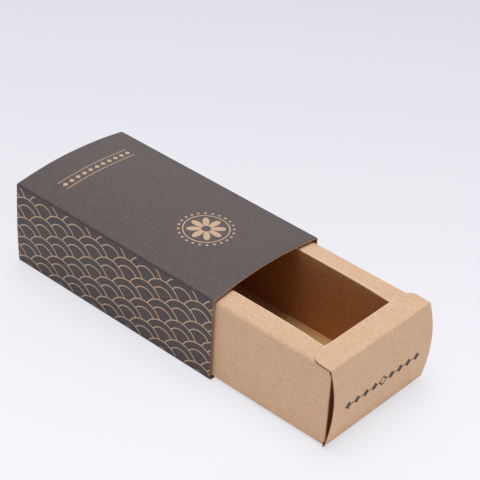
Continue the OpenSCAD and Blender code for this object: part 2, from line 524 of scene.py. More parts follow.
class Graph:
    """The nodes of one material, with one Principled shader."""

    # A Mix node's sockets for colours: its share and its two colours, and its result.
    mix_inputs = (0, 6, 7)
    mix_result = 2

    def __init__(self, name: str, ground: Colour) -> None:
        """Start the material.

        Args:
            name: The material's name.
            ground: The colour that lies below all others.
        """
        self.colour = (*ground, 1)
        self.material = bpy.data.materials.new(name)
        self.material.use_nodes = True
        self.tree = self.material.node_tree
        self.tree.nodes.clear()
        self.shader = self.node("BsdfPrincipled")
        self.output = self.node("OutputMaterial", Surface=self.shader.outputs["BSDF"])
        self.point = self.node("TexCoord").outputs["Object"]
        self.place = [Value(self, axis) for axis in self.node("SeparateXYZ", self.point).outputs]

    def node(self, kind: str, *first: object, **named: object) -> bpy.types.Node:
        """Add a shader node and feed its inputs.

        Args:
            kind: The node's type.
            first: What goes into the first inputs, in their order.
            named: What goes into the inputs of those names.

        Returns:
            The node.
        """
        node = self.tree.nodes.new("ShaderNode" + kind)
        for key, value in (*enumerate(first), *named.items()):
            self.feed(node.inputs[key], value)
        return node

    def feed(self, socket: bpy.types.NodeSocket, value: object) -> None:
        """Link a socket to a worked-out value, or set it to a constant.

        Args:
            socket: The socket to feed.
            value: A Value, another node's output, a number or a tuple.
        """
        source = value.socket if isinstance(value, Value) else value
        if isinstance(source, bpy.types.NodeSocket):
            self.tree.links.new(source, socket)
        else:
            socket.default_value = source

    def math(self, operation: str, *values: Value | float, clamp: bool = False) -> Value:
        """Add a Math node.

        Args:
            operation: The node's operation.
            values: Its inputs.
            clamp: Whether the result is kept from 0 to 1.

        Returns:
            The result.
        """
        node = self.node("Math", *values)
        node.operation = operation
        node.use_clamp = clamp
        return Value(self, node.outputs[0])

    def noise(self, spots: Spots) -> Value:
        """Add the noise that spots are made from.

        Args:
            spots: The spots.

        Returns:
            The noise, about 0.5 on average.
        """
        point = self.point
        if spots.stretch:
            point = self.node("Mapping", Vector=point, Scale=spots.stretch).outputs[0]
        node = self.node("TexNoise", Vector=point, Scale=spots.scale, Detail=spots.detail,
                         Roughness=spots.roughness)
        return Value(self, node.outputs["Fac"])

    def clouds(self, spots: Spots) -> Value:
        """Add spots that fade evenly into each other."""
        return self.noise(spots).ramp(*spots.levels)

    def flecks(self, spots: Spots) -> Value:
        """Add spots that stand apart."""
        return self.noise(spots).step(*spots.levels)

    def lay(self, colour: Colour, share: Value) -> None:
        """Lay a colour over those that are there.

        Args:
            colour: The colour.
            share: How much of what lies below it covers.
        """
        node = self.node("Mix")
        node.data_type = "RGBA"
        for key, value in zip(self.mix_inputs, (share, self.colour, (*colour, 1))):
            self.feed(node.inputs[key], value)
        self.colour = Value(self, node.outputs[self.mix_result])

    def finish(self, gloss: Gloss, height: Value | None = None) -> bpy.types.Material:
        """Give the shader its colour, gloss and tooth.

        Args:
            gloss: The gloss, with the tooth's depth.
            height: The tooth's height, from 0 to 1, on a surface that has a tooth.

        Returns:
            The finished material.
        """
        roughness = gloss.roughness
        if height and gloss.rougher_heights:
            roughness = height * gloss.rougher_heights + roughness
        self.feed(self.shader.inputs["Base Color"], self.colour)
        self.feed(self.shader.inputs["Roughness"], roughness)
        self.feed(self.shader.inputs["Specular IOR Level"], gloss.specular)
        if height:
            bump = self.node("Bump", Height=height, Distance=gloss.tooth, Strength=gloss.strength)
            self.feed(self.shader.inputs["Normal"], bump.outputs[0])
        return self.material


# ---- finishes ----


@dataclass(frozen=True)
class PaintedLine:
    """A pair of painted lines, one each side of a middle: highlights and shade along the tray's
    creases and edges, and the dark line beside the walls' feet.
    """

    axis: int
    reach: float
    half: float
    soft: float
    colour: Colour
    weight: float
    middle: float = 0.0
    patchy: float = 0.6
    patches: Spots = Spots(900, 2, (0.55, 0.30))

    def mask(self, graph: Graph) -> Value:
        """Add the lines to a graph.

        Args:
            graph: The graph to add to.

        Returns:
            The weight of the lines' colour.
        """
        off = abs(abs(graph.place[self.axis] - self.middle) - self.reach)
        gaps = graph.clouds(self.patches) * self.patchy
        return off.step(self.half, self.half - self.soft) * (1.0 - gaps) * self.weight


@dataclass(frozen=True)
class InkRow:
    """A row of dark lozenges and dashes on the end panels."""

    colour: Colour = (0.036, 0.038, 0.046)
    level: float = 17.2 * MM
    pitch: float = 4.9 * MM
    half_row: float = 21.75 * MM
    lozenge: float = 1.85 * MM
    ring: float = 2.5 * MM
    ring_hole: float = 1.45 * MM
    dash_half: float = 0.3 * MM
    dash_reach: float = 0.5 * MM
    strength: float = 0.93
    ink: Spots = Spots(2600, 2, (0.28, 0.40))

    def mask(self, graph: Graph) -> Value:
        """Add the printed row to a graph.

        Args:
            graph: The graph to add to.

        Returns:
            1 where there is ink and 0 elsewhere.
        """
        x, _, z = graph.place
        across, rise, cell = abs(x), abs(z - self.level), abs(x.repeat(self.pitch))
        lozenges = (cell + rise).inked(self.lozenge)
        dashes = rise.inked(self.dash_half) * (self.pitch / 2 - cell).inked(self.dash_reach)
        off_middle = 1.0 - across.inked(self.pitch / 2)
        centre = across + rise
        ring = centre.inked(self.ring) - centre.inked(self.ring_hole)
        row = ((lozenges | dashes) * off_middle | ring) * across.inked(self.half_row)
        return row * (graph.flecks(self.ink) * self.strength)


@dataclass(frozen=True)
class KraftFinish:
    """Uncoated kraft board: a warm tan with short fibres and a fine tooth."""

    name: str = "kraft_board"
    shade: Colour = (0.665, 0.354, 0.166)
    light: Colour = (0.826, 0.666, 0.492)
    rosy: Colour = (0.828, 0.522, 0.350)
    fibre: Colour = (0.560, 0.270, 0.108)
    grain: Spots = Spots(1150, 5, (0.30, 0.70), roughness=0.8)
    tint: Spots = Spots(1500, 2, (0.40, 0.70), roughness=0.6, stretch=(1.0, 1.1, 0.9))
    patches: Spots = Spots(210, 2)
    patch_share: float = 0.13
    fibres_across: Spots = Spots(1, 1, (0.63, 0.76), stretch=(560, 3600, 3600))
    fibres_along: Spots = Spots(1, 1, (0.63, 0.76), stretch=(3600, 560, 1300))
    fibre_share: float = 0.40
    fibre_depth: float = 0.2
    gloss: Gloss = Gloss(0.82, 0.28, 0.02 * MM, 0.5)
    ink: InkRow | None = None
    # line: painted highlights in the rims' and strips' finishes, painted shade in the flaps', the
    # dark line in the feet's.
    line: PaintedLine | None = None

    def make(self) -> bpy.types.Material:
        """Build the material.

        Returns:
            The material.
        """
        graph = Graph(self.name, self.shade)
        grain = graph.noise(self.grain)
        fibres = graph.flecks(self.fibres_across) | graph.flecks(self.fibres_along)
        graph.lay(self.light, grain.ramp(*self.grain.levels))
        graph.lay(self.rosy, graph.clouds(self.tint))
        graph.lay(self.shade, graph.clouds(self.patches) * self.patch_share)
        graph.lay(self.fibre, fibres * self.fibre_share)
        for mark in (self.ink, self.line):
            if mark:
                graph.lay(mark.colour, mark.mask(graph))
        return graph.finish(self.gloss, grain - fibres * self.fibre_depth)


@dataclass(frozen=True)
class CutEdgeFinish:
    """The board's cut edge: pressed layers, a little darker than the face.

    Towards the floor it is darker still: painted shade.
    """

    name: str = "cut_edge"
    colour: Colour = (0.620, 0.335, 0.150)
    dark: Colour = (0.400, 0.200, 0.085)
    low: Colour = (0.250, 0.110, 0.040)
    low_shade_share: float = 0.8
    low_shade_below: float = 19 * MM
    shade_fade_top: float = 33 * MM
    layers: Spots = Spots(3200, 3, (0.42, 0.70), roughness=0.7)
    patches: Spots = Spots(420, 1, (0.45, 0.75))
    patch_share: float = 0.4
    gloss: Gloss = Gloss(0.9, 0.2, 0.06 * MM, 0.6)

    def make(self) -> bpy.types.Material:
        """Build the material.

        Returns:
            The material.
        """
        graph = Graph(self.name, self.colour)
        layers = graph.noise(self.layers)
        graph.lay(self.dark, layers.step(*self.layers.levels))
        graph.lay(self.dark, graph.flecks(self.patches) * self.patch_share)
        # Painted shade: darker towards the floor.
        low_shade = 1.0 - graph.place[2].step(self.low_shade_below, self.shade_fade_top)
        graph.lay(self.low, low_shade * self.low_shade_share)
        return graph.finish(self.gloss, layers)


@dataclass(frozen=True)
class ScallopPrint:
    """Rows of overlapping scallops in fine tan lines on the sleeve's sides."""

    radius: float = 9.4 * MM
    rings: tuple = (0.975, 0.62)
    line_half: float = 0.24 * MM
    line_softness: float = 0.25
    low: float = 1.0 * MM
    high: float = 35.9 * MM
    facing: float = 28.2 * MM
    end_fade: float = 0.1 * MM

    def mask(self, graph: Graph) -> Value:
        """Add the scallops to a graph.

        Args:
            graph: The graph to add to.

        Returns:
            1 on a line and 0 elsewhere.
        """
        x, y, z = graph.place
        along, up = y / self.radius, z / (self.radius / 2)
        first_row = (up - 2.0).math("CEIL")
        reach, found = self._row(along, up, first_row)
        depth = reach * found
        for rows_up in (1.0, 2.0):
            reach, inside = self._row(along, up, first_row + rows_up)
            depth = depth + reach * (inside * (1.0 - found))
            found = found | inside
        half = self.line_half / self.radius
        rim, ring = (abs(depth - ring).within(half, self.line_softness) for ring in self.rings)
        on_side = abs(x).step(self.facing, self.facing + self.end_fade)
        above = z.step(self.low, self.low + self.end_fade)
        below = z.step(self.high, self.high - self.end_fade)
        return (rim | ring) * on_side * (above * below)

    def _row(self, along: Value, up: Value, row: Value) -> tuple[Value, Value]:
        """Find the nearest scallop of a row.

        Args:
            along: Place along the sleeve, in radii.
            up: Place up the side, in rows.
            row: The row. Every second one is shifted by a radius.

        Returns:
            The distance to the scallop's middle in radii, and 1 inside the scallop.
        """
        odd = row.math("FLOORED_MODULO", 2.0)
        nearest = ((along - odd) * 0.5).math("ROUND") * 2.0 + odd
        reach = distance(along - nearest, (up - row) * 0.5)
        return reach, reach.math("LESS_THAN", 1.0)


@dataclass(frozen=True)
class TopPrint:
    """A rosette and a band of lozenges in tan on the sleeve's top."""

    facing: float = 36.5 * MM
    facing_fade: float = 0.2 * MM
    line_softness: float = 0.2

    rosette_y: float = -22 * MM
    petal: float = 7.6 * MM
    petals: int = 8
    petal_bluntness: float = 0.55
    petal_fade: float = 0.12 * MM
    heart: tuple = (0.24, 0.26)
    ring: float = 9.0 * MM
    ring_half: float = 0.22 * MM
    dots: int = 24
    dot_ring: float = 10.7 * MM
    dot: float = 0.52 * MM
    dot_softness: float = 0.15

    band_y: float = 38 * MM
    band_half: float = 18.7 * MM
    band_fade: float = 0.99
    pitch: float = 3.4 * MM
    lozenge: float = 1.25 * MM
    lozenge_fade: float = 0.88
    rule_off: float = 2.6 * MM
    rule_half: float = 0.16 * MM

    def mask(self, graph: Graph) -> Value:
        """Add the rosette and the band to a graph.

        Args:
            graph: The graph to add to.

        Returns:
            1 where the design is printed and 0 elsewhere.
        """
        x, y, z = graph.place
        on_top = z.step(self.facing, self.facing + self.facing_fade)
        return (self._rosette(x, y - self.rosette_y) | self._band(x, y - self.band_y)) * on_top

    def _rosette(self, x: Value, y: Value) -> Value:
        """Draw the rosette with its ring and its dots.

        Args:
            x: Place across the sleeve.
            y: Place along the sleeve from the rosette's middle.

        Returns:
            1 where the rosette is printed and 0 elsewhere.
        """
        reach = distance(x, y)
        turn = y.math("ARCTAN2", x)
        wave = abs((turn * (self.petals / 2)).math("COSINE"))
        outline = wave.math("POWER", self.petal_bluntness) * self.petal
        off_heart = reach.step(*(self.petal * share for share in self.heart))
        petals = (outline - reach).step(0.0, self.petal_fade) * off_heart
        ring = abs(reach - self.ring).within(self.ring_half, self.line_softness)
        part = turn.repeat(2 * math.pi / self.dots)
        dot_x = reach * part.math("COSINE") - self.dot_ring
        dot_y = reach * part.math("SINE")
        dots = distance(dot_x, dot_y).within(self.dot, self.dot_softness)
        return petals | ring | dots

    def _band(self, x: Value, y: Value) -> Value:
        """Draw the row of lozenges between two rules.

        Args:
            x: Place across the sleeve.
            y: Place along the sleeve from the band's middle.

        Returns:
            1 where the band is printed and 0 elsewhere.
        """
        off, cell = abs(y), abs(x.repeat(self.pitch))
        lozenges = (cell + off).step(self.lozenge, self.lozenge * self.lozenge_fade)
        rules = abs(off - self.rule_off).within(self.rule_half, self.line_softness)
        return (lozenges | rules) * abs(x).step(self.band_half, self.band_half * self.band_fade)


@dataclass(frozen=True)
class PrintFinish:
    """Charcoal print on kraft board, with a tan design, worn creases, and painted shade on its
    sides and along its creases.
    """

    name: str = "printed_board"
    light: Colour = (0.165, 0.121, 0.113)
    deep: Colour = (0.028, 0.018, 0.017)
    tan: Colour = (0.640, 0.430, 0.270)
    dark_ink_and_shade: Colour = (0.040, 0.032, 0.031)
    worn: Colour = (0.190, 0.130, 0.090)
    grain: Spots = Spots(1200, 4, (0.20, 0.80), roughness=0.8)
    patches: Spots = Spots(240, 3)
    patch_share: float = 0.14
    side_shade_share: float = 0.36
    side_edge: tuple = (0.7 * MM, 0.1 * MM)
    tan_share: float = 0.95
    tan_gaps: tuple = (0.28, 0.38)
    crease_share: float = 0.6
    crease_edge: tuple = (1.15 * MM, 0.6 * MM)
    rubs: Spots = Spots(520, 3, (0.56, 0.72), roughness=0.7)
    rub_share: float = 0.6
    mouth_rubs: tuple = (0.35, 0.60)
    mouth_edge: tuple = (0.30 * MM, 0.05 * MM)
    gloss: Gloss = Gloss(0.48, 0.5, 0.03 * MM, 0.45, rougher_heights=0.12)
    sleeve: SleeveSize = SleeveSize()

    def make(self) -> bpy.types.Material:
        """Build the material.

        Returns:
            The material.
        """
        graph = Graph(self.name, self.deep)
        x, y, z = graph.place
        grain = graph.noise(self.grain)
        graph.lay(self.light, grain.ramp(*self.grain.levels))
        graph.lay(self.dark_ink_and_shade, graph.clouds(self.patches) * self.patch_share)
        # Painted shade: the sides are darker than the top.
        side = abs(x).step(*(self.sleeve.width / 2 - off for off in self.side_edge))
        graph.lay(self.dark_ink_and_shade, side * self.side_shade_share)
        design = ScallopPrint().mask(graph) | TopPrint().mask(graph)
        graph.lay(self.tan, design * grain.step(*self.tan_gaps) * self.tan_share)
        # Darker lines run along the sleeve's four long creases: partly pressed print, partly
        # painted shade on their rounded edges.
        to_side = abs(self.sleeve.width / 2 - abs(x))
        to_level = abs(self.sleeve.height - z).math("MINIMUM", abs(z))
        crease = (to_side + to_level).step(*self.crease_edge)
        graph.lay(self.dark_ink_and_shade, crease * self.crease_share)
        # The print is rubbed off in spots on the creases and at the mouths.
        rubs = graph.noise(self.rubs)
        to_mouth = self.sleeve.length / 2 - abs(y)
        at_mouth = to_mouth.step(*self.mouth_edge) * rubs.step(*self.mouth_rubs)
        rubbed = crease * rubs.step(*self.rubs.levels) | at_mouth
        graph.lay(self.worn, rubbed * self.rub_share)
        return graph.finish(self.gloss, grain)


@dataclass(frozen=True)
class GlueFinish:
    """Dried white glue."""

    name: str = "dried_glue"
    colour: Colour = (0.74, 0.62, 0.42)
    dark: Colour = (0.592, 0.496, 0.336)
    lumps: Spots = Spots(600, 2)
    gloss: Gloss = Gloss(0.4, 0.5, 0.03 * MM)

    def make(self) -> bpy.types.Material:
        """Build the material.

        Returns:
            The material.
        """
        graph = Graph(self.name, self.colour)
        lumps = graph.noise(self.lumps)
        graph.lay(self.dark, lumps)
        return graph.finish(self.gloss, lumps)


# ---- workshop ----


class Workshop:
    """Turns sheets into finished pieces of board that ride on their body."""

    sharp_degrees = 38
    softened_rows = 2

    def __init__(self, board: Board, tray: "Tray") -> None:
        """Mix the finishes.

        Args:
            board: The paperboard.
            tray: The tray, for the places of its painted highlight and shade lines.
        """
        self.board = board
        kraft = KraftFinish()
        # Painted shade: a darker, deeper brown copy of the kraft for the tray's inner faces, base,
        # inner walls and tuck flaps, as if in the cavity's shade.
        inside = replace(
            kraft,
            name="shaded_inner_kraft_board",
            shade=(0.345, 0.146, 0.044),
            light=(0.680, 0.345, 0.130),
            rosy=(0.590, 0.255, 0.094),
            fibre=(0.215, 0.088, 0.030),
        )
        # Painted bounce light: a more saturated, orange copy of the kraft for the foot flaps,
        # standing in for the warm light bounced round the cavity.
        foot = replace(
            inside,
            name="bounce_lit_foot_kraft_board",
            shade=(0.640, 0.350, 0.135),
            light=(0.900, 0.560, 0.235),
            rosy=(0.830, 0.450, 0.190),
            line=tray.foot_line(),
        )
        # Painted shade: a dark copy of the kraft for the sleeve's inner face, as if shaded inside
        # the tube.
        shaded_reverse = replace(
            kraft,
            name="shaded_reverse_board",
            shade=(0.220, 0.120, 0.064),
            light=(0.310, 0.186, 0.108),
            rosy=(0.276, 0.154, 0.088),
            fibre=(0.150, 0.080, 0.042),
        )
        # Painted shade: a darker copy of the cut edge for the tray, as if shaded in the gaps.
        shaded_cut = CutEdgeFinish(
            name="shaded_cut_edge",
            colour=(0.240, 0.085, 0.028),
            dark=(0.120, 0.045, 0.015),
            low=(0.240, 0.085, 0.028),
        )
        self.kraft = kraft.make()
        self.inked = replace(kraft, name="inked_kraft_board", ink=InkRow()).make()
        self.inside = inside.make()
        # Painted highlights on the rims' and strips' inner edges.
        self.rim = replace(kraft, name="highlit_rim_kraft_board", line=tray.rim_highlight()).make()
        self.strip = replace(kraft, name="highlit_strip_kraft_board", line=tray.strip_highlight()).make()
        self.foot = foot.make()
        # Painted shade on the corner flaps' faces.
        self.flap = replace(kraft, name="shaded_flap_kraft_board", line=tray.flap_shade()).make()
        self.shaded_reverse = shaded_reverse.make()
        self.cut = CutEdgeFinish().make()
        self.shaded_cut = shaded_cut.make()
        self.printed = PrintFinish().make()
        self.glue = GlueFinish().make()

    def piece(self, sheet: Sheet, node: str, body: str, slot: str, outer: bpy.types.Material,
              handling: Callable[[Vector], Vector],
              raw: Callable[[Vector], bool] | None = None) -> None:
        """Give a sheet its thickness and finish, and put it in a node's place.

        Args:
            sheet: The outer surface of the piece.
            node: The CAD node that the piece stands for.
            body: The body that the piece rides on.
            slot: The record's material slot. It is not used.
            outer: The finish of the outer surface.
            handling: A function from a point to its small shift.
            raw: A function that says whether a point lies on a free cut edge.
        """
        sheet.orient()
        bmesh.ops.triangulate(sheet.mesh, faces=[f for f in sheet.mesh.faces if len(f.verts) > 4])
        for vert in sheet.mesh.verts:
            vert.co += handling(vert.co)
        mesh = new_mesh(node + "_sheet", sheet.mesh)
        # Inner faces and the tray's cut edges take the darkened finishes: painted shade.
        inner, cut = (self.shaded_reverse, self.cut) if body == "sleeve" else (self.inside, self.shaded_cut)
        finishes = {Face.OUTER: outer, Face.INNER: inner, Face.CUT: cut}
        for face in Face:
            mesh.materials.append(finishes[face])
        obj = new_object(node + "_board", mesh)
        solid = obj.modifiers.new("thickness", "SOLIDIFY")
        solid.thickness = self.board.thickness
        solid.offset = -1.0
        solid.use_even_offset = True
        solid.material_offset = Face.INNER.value
        solid.material_offset_rim = Face.CUT.value
        self._apply(obj)
        if raw:
            self._soften(obj, raw)
        obj.data.shade_smooth()
        obj.data.set_sharp_from_angle(angle=math.radians(self.sharp_degrees))
        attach(obj, body)
        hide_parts(node)
        LOG.info("%s: %d faces", obj.name, len(obj.data.polygons))

    def dress(self, obj: bpy.types.Object, material: bpy.types.Material) -> None:
        """Give a CAD node a finish.

        Args:
            obj: The node's object.
            material: The finish.
        """
        obj.data.materials.clear()
        obj.data.materials.append(material)
        LOG.info("%s: dressed", obj.name)

    def _apply(self, obj: bpy.types.Object) -> None:
        """Apply the modifiers of an object.

        Args:
            obj: The object.
        """
        graph = bpy.context.evaluated_depsgraph_get()
        mesh = bpy.data.meshes.new_from_object(obj.evaluated_get(graph))
        mesh.name = obj.name
        obj.modifiers.clear()
        obj.data = mesh

    def _soften(self, obj: bpy.types.Object, raw: Callable[[Vector], bool]) -> None:
        """Bevel the free cut edges a little.

        Args:
            obj: The piece.
            raw: A function that says whether a point lies on a free cut edge.
        """
        mesh = bmesh.new()
        mesh.from_mesh(obj.data)
        edges = []
        for edge in mesh.edges:
            kinds = {f.material_index for f in edge.link_faces}
            if len(kinds) == 2 and Face.CUT.value in kinds:
                if raw((edge.verts[0].co + edge.verts[1].co) / 2):
                    edges.append(edge)
        bmesh.ops.bevel(
            mesh, geom=edges, offset=self.board.softened_cut, offset_type="OFFSET",
            affect="EDGES", segments=self.softened_rows, profile=0.5, material=-1,
            clamp_overlap=True,
        )
        mesh.to_mesh(obj.data)
        mesh.free()


# ---- sleeve ----


@dataclass
class Sleeve:
    """The printed sleeve: one blank folded into a tube and glued at its seam."""

    size: SleeveSize
    board: Board

    def __post_init__(self) -> None:
        """Work out the tube's section."""
        crease = self.board.crease
        self.crease_x = self.size.width / 2 - crease
        top_z = self.size.height - crease
        seam_z = self.board.thickness + self.board.glue
        self.left_half = (top_z - crease) / 2
        self.right_half = (top_z - seam_z - crease) / 2
        self.left_a = bow_angle(self.left_half, self.size.bow)
        self.right_a = bow_angle(self.right_half, self.size.bow)
        self.top_a = bow_angle(self.crease_x, self.size.crown)

    def handling(self, point: Vector) -> Vector:
        """Small shift that hands have left in a point of the sleeve.

        Args:
            point: A point of the true shape.

        Returns:
            The shift.
        """
        size = self.size
        wave = noise.noise(point * size.waves_a_metre + Vector(size.wave_start))
        shift = Vector()
        if point.z > size.height - 2 * self.board.crease:
            shift.z += size.top_wave * wave * swell(point.x, -self.crease_x, self.crease_x)
        elif abs(point.x) > self.crease_x:
            upright = swell(point.z, 0, size.height)
            shift.x += math.copysign(size.side_wave, point.x) * wave * upright
        corner = Vector((-size.width / 2, -size.length / 2, size.height))
        splayed = smooth((point - corner).length, size.splay_reach, 0)
        return shift + splayed * Vector(size.splay)

    def raw(self, point: Vector) -> bool:
        """Whether a point lies on a mouth's cut edge."""
        return abs(point.y) > self.size.length / 2 - self.size.mouth_edge

    def build(self, shop: Workshop) -> None:
        """Fold the blank and hand each panel to the workshop.

        Args:
            shop: The workshop.
        """
        size, crease = self.size, self.board.crease
        start = Vector((size.width / 2 - size.edge_gap, -size.length / 2, 0))
        bottom = Sheet(start, Vector((0, size.length, 0)), Vector((-1, 0, 0)))
        bottom.flat(start.x + self.crease_x)
        bottom.fold(90 - self.left_a, crease)
        left = bottom.next_sheet()
        left.fold(2 * self.left_a, arc_radius(self.left_half, self.left_a) + crease)
        top = left.next_sheet()
        top.fold(90 - self.left_a - self.top_a, crease)
        top.fold(2 * self.top_a, arc_radius(self.crease_x, self.top_a) + crease)
        top.fold(90 - self.top_a - self.right_a, crease)
        right = top.next_sheet()
        right.fold(2 * self.right_a, arc_radius(self.right_half, self.right_a) + crease)
        flap = right.next_sheet()
        flap.fold(90 - self.right_a, crease)
        flap.flat(size.seam_flap, taper=size.seam_taper)
        panels = {
            "sleeve_bottom": (bottom, shop.printed, "printed_board"),
            "sleeve_left_side": (left, shop.printed, "printed_board"),
            "sleeve_top": (top, shop.printed, "printed_board"),
            "sleeve_right_side": (right, shop.printed, "printed_board"),
            "sleeve_seam_flap": (flap, shop.kraft, "kraft_board"),
        }
        for node, (sheet, outer, slot) in panels.items():
            shop.piece(sheet, node, "sleeve", slot, outer, self.handling, self.raw)


# ---- tray ----


@dataclass
class Tray:
    """The kraft tray: one blank folded into hollow walls round an opening."""

    size: TraySize
    sleeve: SleeveSize
    board: Board
    highlight_colour: Colour = (0.960, 0.770, 0.570)
    foot_shade: Colour = (0.200, 0.090, 0.030)
    flap_shade_colour: Colour = (0.200, 0.080, 0.028)

    def __post_init__(self) -> None:
        """Work out the tray's widths and levels from the sleeve's inside."""
        size, board = self.size, self.board
        self.end_w = self.sleeve.width - 2 * (board.thickness + size.side_gap)
        self.body_w = self.end_w - 2 * size.ear_reach
        self.opening_w = self.body_w - 2 * size.rim
        self.low_z = 2 * board.thickness + board.glue + size.slide_gap
        self.floor_z = self.low_z + 2 * board.thickness + board.glue
        self.strip_z = self.sleeve.height - board.thickness - size.top_gap
        self.rim_z = self.strip_z - board.thickness
        self.half = size.length / 2
        self.shift = self.sleeve.length / 2 + size.pull_out - self.half
        self.wall_end = self.half - board.thickness - size.flap_gap - board.crease
        self.opening_half = self.half - size.strip
        lean = math.radians(size.lean)
        drop = self.rim_z - board.inner_crease - self.floor_z - board.foot_crease
        reach = (drop * math.sin(lean) - board.foot_crease - board.inner_crease) / math.cos(lean)
        self.lean_length = reach * math.sin(lean) + drop * math.cos(lean)
        self.foot_x = self.opening_w / 2 + board.inner_crease + reach

    def rim_highlight(self) -> PaintedLine:
        """The painted highlight on the rims' rolled inner edges.

        Returns:
            The line.
        """
        half = 0.45 * MM
        return PaintedLine(axis=0, reach=self.opening_w / 2 + half, half=half, soft=0.25 * MM,
                           colour=self.highlight_colour, weight=0.55)

    def strip_highlight(self) -> PaintedLine:
        """The painted highlight on the end strips' inner edges.

        Returns:
            The line.
        """
        inset = 0.3 * MM
        return PaintedLine(axis=1, middle=-self.shift, reach=self.opening_half + inset,
                           half=0.35 * MM, soft=0.2 * MM, colour=self.highlight_colour, weight=0.7)

    def foot_line(self) -> PaintedLine:
        """The dark line beside the feet of the inner walls, just past their beads.

        Returns:
            The line.
        """
        past_bead = 0.15 * MM
        reach = self.foot_x - self.size.bead_from - past_bead
        return PaintedLine(axis=0, reach=reach, half=0.22 * MM, soft=0.18 * MM,
                           colour=self.foot_shade, weight=0.40)

    def flap_shade(self) -> PaintedLine:
        """Painted shade on the corner flaps' faces, darker than the creases beside the walls.

        Returns:
            The broad line that tints them.
        """
        half, off_wall = 6 * MM, 0.18 * MM
        return PaintedLine(axis=0, reach=self.body_w / 2 - off_wall - half, half=half,
                           soft=self.board.crease, colour=self.flap_shade_colour, weight=0.95, patchy=0.0)

    def handling(self, point: Vector) -> Vector:
        """Small shift that folding and hands have left in a point of the tray.

        Args:
            point: A point of the true shape.

        Returns:
            The shift.
        """
        size = self.size
        x, y, z = abs(point.x), point.y + self.shift, point.z
        shift = self._sides(point, x, abs(y), z)
        depth = self.half - abs(y)
        if z > self.strip_z - LEVEL:
            # The ears lift off the rims.
            spread = smooth(x, size.ear_lift_from, self.end_w / 2)
            shift.z += size.ear_lift * spread * smooth(depth, *size.ear_lift_depths)
        elif depth < self.board.crease:
            # The end panels are not quite even.
            waves_x, waves_z = size.end_waves_a_metre
            wave = noise.noise(Vector((point.x * waves_x, y, z * waves_z)))
            upright = swell(z, 0, self.strip_z)
            shift.y += math.copysign(size.end_wave, y) * wave * upright
        return shift

    def _sides(self, point: Vector, x: float, y: float, z: float) -> Vector:
        """Shift of a point of the long sides.

        Args:
            point: A point of the true shape.
            x: Its distance from the tray's middle line.
            y: Its distance from the tray's middle across.
            z: Its height.

        Returns:
            The shift.
        """
        size = self.size
        shift = Vector()
        if z > self.rim_z + LEVEL or y > self.wall_end + LEVEL:
            return shift
        rim_from = self.body_w / 2 - self.board.rim_crease
        roll_to = self.opening_w / 2 + self.board.inner_crease
        # The inner walls push the rims' inner edges up between the end strips.
        slope = min(1.0, max(0.0, (rim_from - x) / (size.rim - self.board.rim_crease)))
        height = min(1.0, max(0.0, (z - self.floor_z) / (self.rim_z - self.floor_z)))
        rise = size.rim_rise * (1 - min(1.0, y / self.opening_half) ** size.rim_rise_power) * slope
        # Those edges are rolled rather than sharp.
        rolled = min(1.0, max(0.0, (roll_to + size.roll - x) / size.roll))
        shift.z += (rise - size.roll_drop * rolled ** 2) * height
        # A pressed bead runs beside the foot of each inner wall.
        if abs(z - self.floor_z) < LEVEL:
            off = (self.foot_x - size.bead_from - x) / size.bead_half
            shift.z += size.bead_rise * math.exp(-off * off)
        # The outer walls are not quite flat.
        if x > self.body_w / 2 - self.board.crease:
            wave = noise.noise(point * size.waves_a_metre + Vector(size.wave_start))
            upright = swell(z, 0, self.strip_z)
            calm = 1 - smooth(y, self.wall_end - size.calm_ends, self.wall_end)
            shift.x += math.copysign(size.wave, point.x) * wave * upright * calm
        return shift

    def side_sheets(self, side: Side) -> dict[str, Sheet]:
        """Fold one long side.

        Args:
            side: The side to fold.

        Returns:
            The side's sheets, by node name.
        """
        size, board = self.size, self.board
        sign = side.value
        start = Vector((sign * (self.body_w / 2 - board.crease), -self.shift, self.low_z))
        along = Vector((0, -sign * 2 * self.wall_end, 0))
        wall = Sheet(start - along / 2, along, Vector((sign, 0, 0)))
        wall.fold(90, board.crease)
        wall.flat(self.rim_z - board.rim_crease - self.low_z - board.crease)
        wall.fold(90, board.rim_crease)
        rim = wall.next_sheet()
        rim.flat(size.rim - board.rim_crease - board.inner_crease - size.roll)
        rim.flat(size.roll, rows=size.roll_rows)
        rim.fold(90 + size.lean, board.inner_crease)
        inner = rim.next_sheet()
        inner.flat(self.lean_length)
        foot = inner.next_sheet(self.wall_end - self.opening_half)
        foot.fold(-90 - size.lean, board.foot_crease)
        bead = 2 * size.bead_from
        foot.flat(bead, taper=size.foot_taper, rows=size.bead_rows)
        foot.flat(size.side_foot - bead, taper=size.foot_taper)
        name = side.name.lower()
        return {
            f"tray_{name}_outer_wall": wall,
            f"tray_{name}_rim": rim,
            f"tray_{name}_inner_wall": inner,
            f"tray_{name}_foot_flap": foot,
        }

